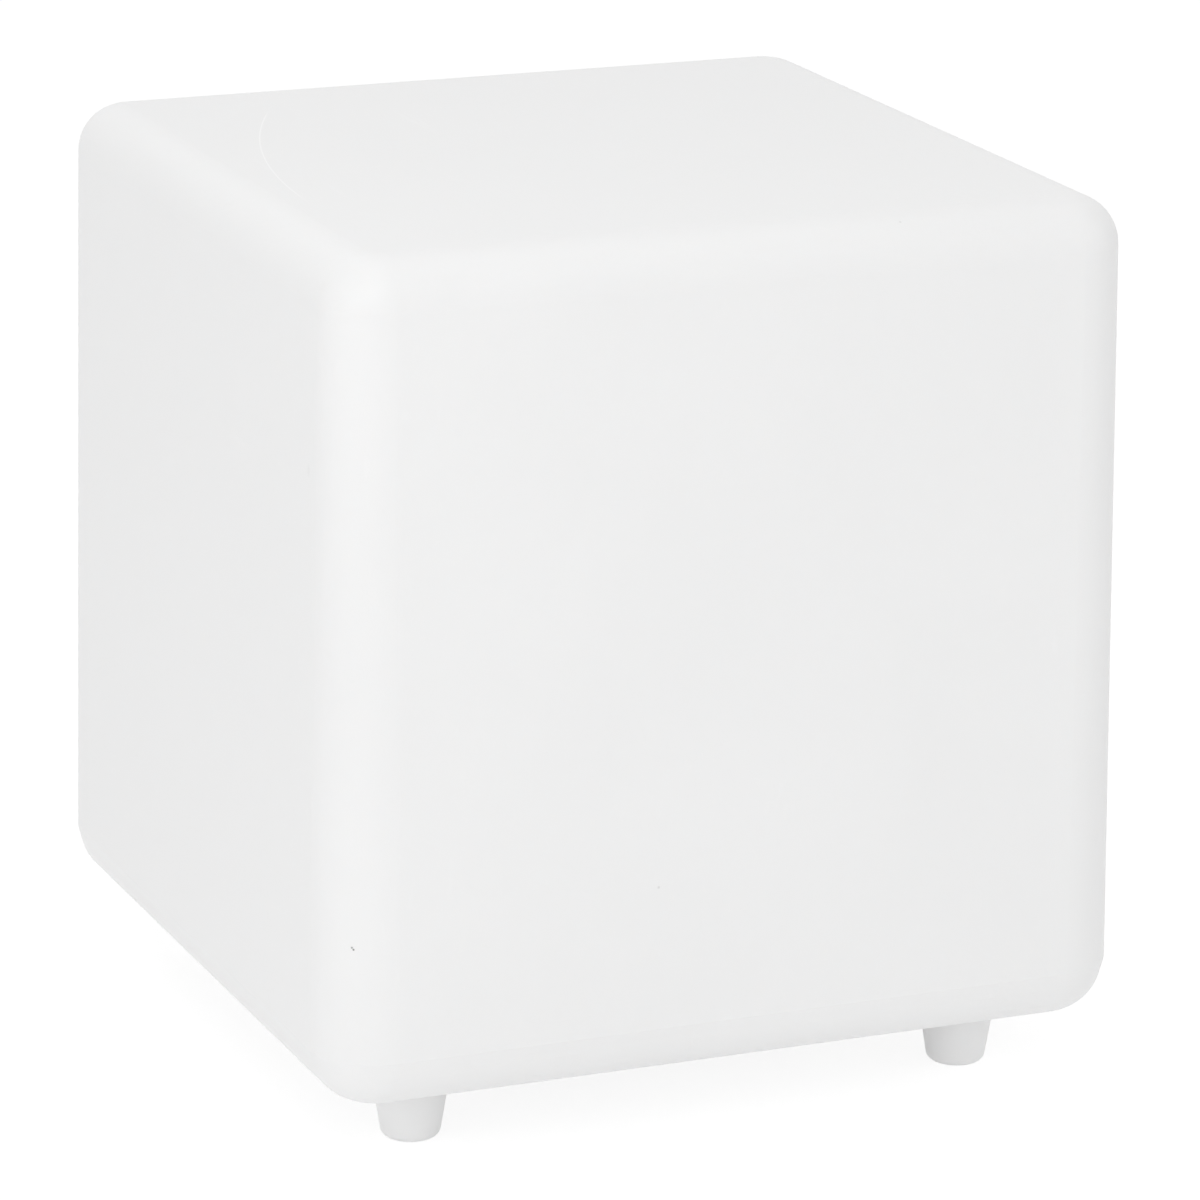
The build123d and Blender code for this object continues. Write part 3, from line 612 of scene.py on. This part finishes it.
def makeFoot(nodeName, s):
    low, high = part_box(nodeName)
    centre = ((low.x + high.x) / 2, (low.y + high.y) / 2)
    shoulder = high.z - s["spigotHeight"]
    section = [
        (s["boreRadius"], s["wellDepth"]), (s["wellRadius"], s["wellDepth"]),
        (s["wellRadius"], s["wellChamfer"]), (s["wellRadius"] + s["wellChamfer"], 0),
        (s["bottomRadius"], 0), (s["topRadius"], shoulder), (s["spigotRadius"], shoulder),
        (s["spigotRadius"], high.z), (s["boreRadius"], high.z),
    ]
    foot = turned(camelName(nodeName), section, centre, sides=96, closed=True)
    bevelEdges(foot, onRing(centre, s["bottomRadius"], 0), s["edgeRadius"], 8)
    bevelEdges(foot, onRing(centre, s["topRadius"], shoulder), s["rimRadius"], 3)
    return finishPiece(foot, "cube", "foot_plastic", nodeName)


for nodeName in ("foot_front_left", "foot_front_right", "foot_rear_left", "foot_rear_right"):
    makeFoot(nodeName, feet)
print("feet done")


# circle: radius in metres, how many screws on it and the angle of the first, in degrees
screws = {
    "module_screws": {"circle": (0.067, 6, 0), "headRadius": 0.0038, "shankRadius": 0.0020,
                      "length": 0.010, "panHeight": 0.0, "recess": 0.0046},
    "housing_screws": {"circle": (0.041, 4, 45), "headRadius": 0.0029, "shankRadius": 0.0015,
                       "length": 0.012, "panHeight": 0.0, "recess": 0.0036},
    "foot_screws": {"circle": (0.098 * math.sqrt(2), 4, 45), "headRadius": 0.00375,
                    "shankRadius": 0.0020, "length": 0.0226, "panHeight": 0.0026,
                    "recess": 0.0044},
}
screwShape = {
    "faceDrop": 0.00005, "rim": 0.0001, "rimHeight": 0.0002,    # flat countersunk head
    # rounded pan head: share of the head's radius, and height there
    "panCurve": [(0.0, 0.0), (0.7, 0.00012), (0.92, 0.0007), (1.0, 0.0014)],
    "tipChamfer": 0.0004,
    "slotShare": 0.2, "slotBottom": -0.0014, "slotTop": 0.0018, "slotTaper": 0.62,
    "firstTurn": 11, "nextTurn": 37,    # the crosses point different ways, in degrees
}


def makeScrew(name, s, shape):
    # head down at height 0; a countersunk screw has no height of pan
    head, shank, length = s["headRadius"], s["shankRadius"], s["length"]
    if s["panHeight"]:
        section = [(share * head, height) for share, height in shape["panCurve"]]
        section += [(head, s["panHeight"]), (shank, s["panHeight"])]
    else:
        section = [(0, shape["faceDrop"]), (head - shape["rim"], shape["faceDrop"]),
                   (head, shape["rimHeight"]), (shank, head - shank)]
    tip = shape["tipChamfer"]
    section += [(shank, length - tip), (shank - tip, length), (0, length)]
    screw = turned(name, section, sides=48)
    slotMiddle = (shape["slotTop"] + shape["slotBottom"]) / 2
    for turn in (0, 90):
        bpy.ops.object.select_all(action="DESELECT")
        bpy.ops.mesh.primitive_cube_add(size=1, location=(0, 0, slotMiddle))
        bar = bpy.context.object
        bar.scale = (s["recess"], shape["slotShare"] * s["recess"],
                     shape["slotTop"] - shape["slotBottom"])
        bar.rotation_euler.z = math.radians(turn)
        bpy.ops.object.transform_apply(location=True, rotation=True, scale=True)
        bpy.ops.object.mode_set(mode="EDIT")   # the slot narrows towards its floor
        bpy.ops.mesh.select_all(action="DESELECT")
        bpy.ops.mesh.select_mode(type="FACE")
        bpy.ops.object.mode_set(mode="OBJECT")
        for face in bar.data.polygons:
            face.select = face.normal.z > 0.5
        bpy.ops.object.mode_set(mode="EDIT")
        bpy.ops.transform.resize(value=(shape["slotTaper"], shape["slotTaper"], 1))
        bpy.ops.object.mode_set(mode="OBJECT")
        combine(screw, bar, "DIFFERENCE")
    return screw


def placeScrews(nodeName, s, shape):
    low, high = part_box(nodeName)
    pattern = makeScrew("pattern", s, shape)
    radius, count, firstAngle = s["circle"]
    copies = []
    for number in range(count):
        copy = pattern.copy()
        copy.data = pattern.data.copy()
        bpy.context.scene.collection.objects.link(copy)
        along = math.radians(firstAngle + 360 / count * number)
        copy.location = (radius * math.cos(along), radius * math.sin(along), low.z)
        copy.rotation_euler.z = math.radians(shape["nextTurn"] * number + shape["firstTurn"])
        copies.append(copy)
    bpy.data.objects.remove(pattern)
    for copy in copies:
        makeActive(copy)
        bpy.ops.object.transform_apply(location=True, rotation=True, scale=True)
    return finishPiece(joinPieces(camelName(nodeName), copies), "cube", "screw_steel", nodeName)


for nodeName, values in screws.items():
    placeScrews(nodeName, values, screwShape)
print("screws done")


button = {"radius": 0.0060, "edge": 0.0009, "dishRadius": 0.0042, "dishDepth": 0.0006,
          "dishSteps": 6, "flangeRadius": 0.0075, "flangeThickness": 0.0015,
          "stemRadius": 0.0020, "stemLength": 0.0020}


def makeButton(s):
    low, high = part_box("power_button")
    flangeTop = high.z - s["stemLength"]
    section = []
    for step in range(s["dishSteps"] + 1):
        share = step / s["dishSteps"]
        section.append((share * s["dishRadius"], low.z + s["dishDepth"] * (1 - share ** 2)))
    section += [
        (s["radius"], low.z), (s["radius"], flangeTop - s["flangeThickness"]),
        (s["flangeRadius"], flangeTop - s["flangeThickness"]), (s["flangeRadius"], flangeTop),
        (s["stemRadius"], flangeTop), (s["stemRadius"], high.z), (0, high.z),
    ]
    centre = ((low.x + high.x) / 2, 0)
    piece = turned("powerButton", section, centre, sides=72)
    bevelEdges(piece, onRing(centre, s["radius"], low.z), s["edge"], 5)
    return finishPiece(piece, "button", "button_plastic", "power_button", angle=40)


makeButton(button)
print("button done")


plug = {"across": -0.014, "capRadius": 0.0065, "capThickness": 0.0015, "noseRadius": 0.00305,
        "noseChamfer": 0.0005, "boreRadius": 0.0013, "boreFloor": 0.001,
        "tabReach": 0.0135, "tabWidth": 0.0060, "tabInset": 0.00015, "edge": 0.0004,
        "tabFlat": 0.00004,    # straight bit left between two rounded corners
        "grooves": 3, "grooveSpacing": 0.0016, "grooveRadius": 0.0006, "grooveDepth": 0.0003}


def makeTab(s, bottom, top):
    # flat strip with round ends, from the middle of the cap to where a finger nail lifts it
    bpy.ops.object.select_all(action="DESELECT")
    bpy.ops.mesh.primitive_plane_add(size=1, location=(s["across"] - s["tabReach"] / 2, 0, bottom))
    tab = bpy.context.object
    tab.scale = (s["tabReach"] + s["tabWidth"], s["tabWidth"], 1)
    bpy.ops.object.transform_apply(location=True, rotation=True, scale=True)
    bpy.ops.object.mode_set(mode="EDIT")
    bpy.ops.mesh.select_all(action="SELECT")
    bpy.ops.mesh.bevel(offset=(s["tabWidth"] - s["tabFlat"]) / 2, segments=16, affect="VERTICES")
    bpy.ops.mesh.select_all(action="SELECT")
    bpy.ops.mesh.extrude_region_move(TRANSFORM_OT_translate={"value": (0, 0, top - bottom)})
    bpy.ops.mesh.select_all(action="SELECT")
    bpy.ops.mesh.normals_make_consistent(inside=False)
    bpy.ops.object.mode_set(mode="OBJECT")
    for height in (bottom, top):
        bevelEdges(tab, onLevel(height), s["edge"], 4)
    return tab


def makePlug(s):
    low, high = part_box("port_plug")
    centre = (s["across"], 0.0)
    capTop = low.z + s["capThickness"]
    boreFloor = capTop + s["boreFloor"]
    cap = turned("portPlug", [
        (0, low.z), (s["capRadius"], low.z), (s["capRadius"], capTop), (s["noseRadius"], capTop),
        (s["noseRadius"], high.z - s["noseChamfer"]), (s["noseRadius"] - s["noseChamfer"], high.z),
        (s["boreRadius"], high.z), (s["boreRadius"], boreFloor), (0, boreFloor)], centre, sides=72)
    for height in (low.z, capTop):
        bevelEdges(cap, onRing(centre, s["capRadius"], height), s["edge"], 4)
    tabBottom = low.z + s["tabInset"]
    combine(cap, makeTab(s, tabBottom, capTop - s["tabInset"]), "UNION")
    for number in range(s["grooves"]):   # grip, across the end of the tab
        fromEnd = (s["grooves"] / 2 - number) * s["grooveSpacing"]
        bpy.ops.object.select_all(action="DESELECT")
        bpy.ops.mesh.primitive_cylinder_add(
            vertices=32, radius=s["grooveRadius"], depth=2 * s["tabWidth"],
            rotation=(math.pi / 2, 0, 0),
            location=(s["across"] - s["tabReach"] + fromEnd, 0,
                      tabBottom - s["grooveRadius"] + s["grooveDepth"]))
        combine(cap, bpy.context.object, "DIFFERENCE")
    return finishPiece(cap, "plug", "grey_silicone", "port_plug", angle=35)


makePlug(plug)
print("plug done")


stageValues = {
    "floorSize": 16.0, "floorColor": 0.90,
    "tableGlow": 0.135,                    # light from the pale table, on the object only
    "seenColor": 0.24, "seenGlow": 0.84,   # the floor as the camera and reflections see it
    "ambient": 0.612, "seenBackground": 1.0,   # the background as a light, and as it is seen
}

lampAim = (0, 0, 0.15)
# place in metres, size of the square lamp, power in watts
lamps = {
    "keyLamp": {"place": (-0.45, -0.9, 1.0), "size": 0.5, "power": 1.68},
    "wideLamp": {"place": (-0.9, -1.7, 1.1), "size": 0.8, "power": 2.6},
    "sideLamp": {"place": (-2.4, -1.2, 0.9), "size": 1.2, "power": 7.3},
    "topLamp": {"place": (0.0, 0.0, 2.4), "size": 2.0, "power": 8.6},
    "fillLamp": {"place": (2.2, -1.5, 1.2), "size": 1.4, "power": 4.2},
    "backLamp": {"place": (-0.3, 2.0, 2.0), "size": 1.6, "power": 4.3},
}


def seenMask(tree):
    # 1 where the camera looks, straight or through a reflection or a clear part, and 0 for light
    path = addNode(tree, "ShaderNodeLightPath").outputs
    return doMath(tree, "MAXIMUM", path["Is Camera Ray"],
                  doMath(tree, "MAXIMUM", path["Is Glossy Ray"], path["Is Transmission Ray"]))


def glowing(tree, kind, strength):
    return addNode(tree, kind, {"Color": grey(1.0), "Strength": strength}).outputs[0]


def lit(tree, color, strength):
    # a matt surface that also gives off light of its own
    matt = addNode(tree, "ShaderNodeBsdfDiffuse", {"Color": grey(color)}).outputs[0]
    glow = glowing(tree, "ShaderNodeEmission", strength)
    return addNode(tree, "ShaderNodeAddShader", {0: matt, 1: glow}).outputs[0]


def swapWhenSeen(tree, unseen, seen):
    return addNode(tree, "ShaderNodeMixShader", {0: seenMask(tree), 1: unseen, 2: seen}).outputs[0]


def addFloor(s):
    bpy.ops.object.select_all(action="DESELECT")
    bpy.ops.mesh.primitive_plane_add(size=s["floorSize"], location=(0, 0, 0))
    floor = bpy.context.object
    floor.name = "floor"
    material = bpy.data.materials.new("paleFloor")
    material.use_nodes = True
    tree = material.node_tree
    tree.nodes.clear()
    surface = swapWhenSeen(tree, lit(tree, s["floorColor"], s["tableGlow"]),
                           lit(tree, s["seenColor"], s["seenGlow"]))
    addNode(tree, "ShaderNodeOutputMaterial", {"Surface": surface})
    floor.data.materials.append(material)


def addWorld(s):
    world = bpy.data.worlds.new("studio")
    bpy.context.scene.world = world
    world.use_nodes = True
    tree = world.node_tree
    tree.nodes.clear()
    surface = swapWhenSeen(tree, glowing(tree, "ShaderNodeBackground", s["ambient"]),
                           glowing(tree, "ShaderNodeBackground", s["seenBackground"]))
    addNode(tree, "ShaderNodeOutputWorld", {"Surface": surface})


def addLamp(name, s, aim):
    bpy.ops.object.light_add(type="AREA", location=s["place"])
    lamp = bpy.context.object
    lamp.name = lamp.data.name = name
    lamp.data.size = s["size"]
    lamp.data.energy = s["power"]
    toAim = Vector(aim) - Vector(s["place"])
    lamp.rotation_euler = toAim.to_track_quat("-Z", "Y").to_euler()


addFloor(stageValues)
addWorld(stageValues)
for lampName, values in lamps.items():
    addLamp(lampName, values, lampAim)
bpy.context.scene.view_settings.view_transform = "Standard"
print("floor, lamps and background done")
